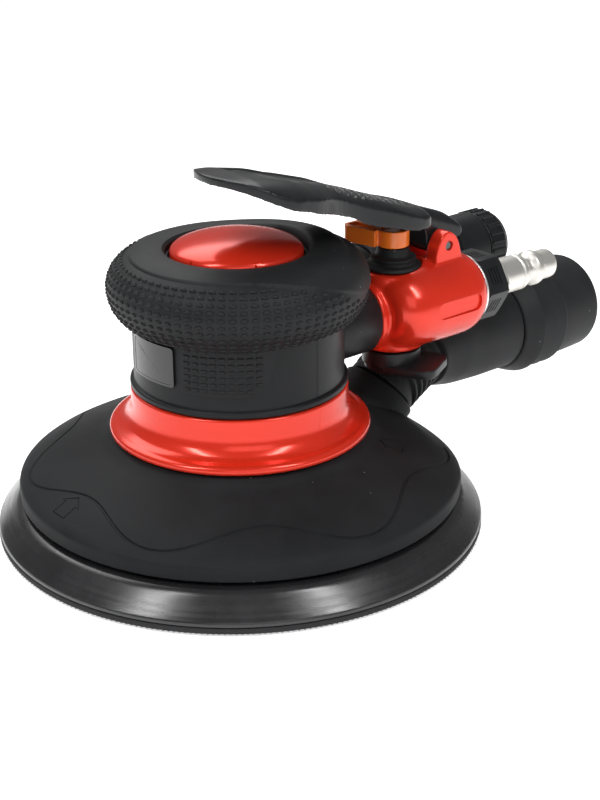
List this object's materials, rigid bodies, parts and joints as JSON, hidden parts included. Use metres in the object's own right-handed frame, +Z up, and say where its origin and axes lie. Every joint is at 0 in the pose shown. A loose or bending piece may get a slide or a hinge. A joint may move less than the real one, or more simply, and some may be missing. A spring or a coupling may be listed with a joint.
{
  "type": "random orbital sander",
  "caption": "Air-driven palm-grip random orbital sander with a throttle lever, a speed regulator, an exhaust muffler and a dust outlet with a stepped hose cuff.",
  "frame": {"origin": "on the motor axis at the underside of the pad", "axes": "+Z up along the motor axis, +X along the handle towards the air inlet and dust outlet, -Y on the inlet's side"},
  "size_m": [0.2379, 0.15, 0.1121],
  "materials": {
    "black_rubber": "matt, fine grain",
    "black_plastic": "satin",
    "pad_black": "satin, fine turned streaks",
    "hook_black": "fuzzy hook face",
    "red_enamel": "gloss",
    "orange_plastic": "gloss",
    "nickel": "satin nickel",
    "steel": "ground",
    "dark_steel": "blackened",
    "aluminium": "satin",
    "phenolic": "matt",
    "felt": "felt"
  },
  "bodies": {
    "tool": {"motor_housing": "black_plastic", "rubber_grip": "black_rubber", "top_cap": "red_enamel", "name_plate": "pad_black", "lock_ring": "red_enamel", "shroud": "black_rubber", "bellows": "black_rubber", "dust_tube": "black_rubber", "cylinder_liner": "dark_steel", "lower_end_plate": "dark_steel", "upper_end_plate": "dark_steel", "lower_bearing": "steel", "upper_bearing": "steel", "retainer_ring": "dark_steel", "valve_body": "red_enamel", "rubber_boot": "black_rubber", "valve_spring": "steel", "inlet_washer": "aluminium", "inlet_bushing": "black_plastic", "inlet_screen": "steel", "inlet_nipple": "nickel", "lever_pin": "dark_steel", "muffler_body": "black_plastic", "muffler_element": "felt"},
    "rotor": {"rotor": "steel", "vane_1": "phenolic", "vane_2": "phenolic", "vane_3": "phenolic", "vane_4": "phenolic", "vane_5": "phenolic", "balancer": "dark_steel", "spindle_bearing": "steel"},
    "pad": {"spindle": "steel", "pad_plate": "black_plastic", "pad_foam": "pad_black", "pad_hook_face": "hook_black"},
    "lever": {"throttle_lever": "black_plastic"},
    "valve_stem": {"valve_stem": "steel", "valve_seal": "black_rubber"},
    "lock": {"throttle_lock": "orange_plastic"},
    "regulator": {"regulator": "black_plastic", "regulator_seal": "black_rubber"},
    "cuff": {"hose_cuff": "black_rubber"},
    "muffler_cap": {"muffler_cap": "black_plastic"}
  },
  "joints": [
    {"name": "rotor_spin", "type": "hinge", "parent": "tool", "child": "rotor", "pos_m": [0, 0, 0.058], "axis": [0, 0, 1], "continuous": true},
    {"name": "pad_spin", "type": "hinge", "parent": "rotor", "child": "pad", "pos_m": [-0.00177, -0.00177, 0.012], "axis": [0, 0, 1], "continuous": true},
    {"name": "lever_swing", "type": "hinge", "parent": "tool", "child": "lever", "pos_m": [0.0683, -0.01, 0.0767], "axis": [0, -1, 0], "range_deg": [0, 7], "stiffness_Nm_per_rad": 0.6, "springref_deg": -20.05},
    {"name": "valve_slide", "type": "slide", "parent": "tool", "child": "valve_stem", "axis": [0, 0, -1], "range_m": [0, 0.002], "deforming": ["valve_spring", "rubber_boot"]},
    {"name": "lock_turn", "type": "hinge", "parent": "valve_stem", "child": "lock", "pos_m": [0.054, -0.01, 0.08], "axis": [0, 0, 1], "range_deg": [0, 26]},
    {"name": "regulator_turn", "type": "hinge", "parent": "tool", "child": "regulator", "pos_m": [0.054, -0.01, 0.0425], "axis": [0, 0, 1], "range_deg": [-40, 15]},
    {"name": "cuff_swivel", "type": "hinge", "parent": "tool", "child": "cuff", "pos_m": [0.14, 0.01, 0.0302], "axis": [1, 0, 0], "continuous": true},
    {"name": "muffler_cap_turn", "type": "hinge", "parent": "tool", "child": "muffler_cap", "pos_m": [0.12, 0.014, 0.0602], "axis": [1, 0, 0], "continuous": true}
  ],
  "couplings": [
    {"joint": "valve_slide", "follows": "lever_swing", "m_per_rad": 0.0147}
  ]
}
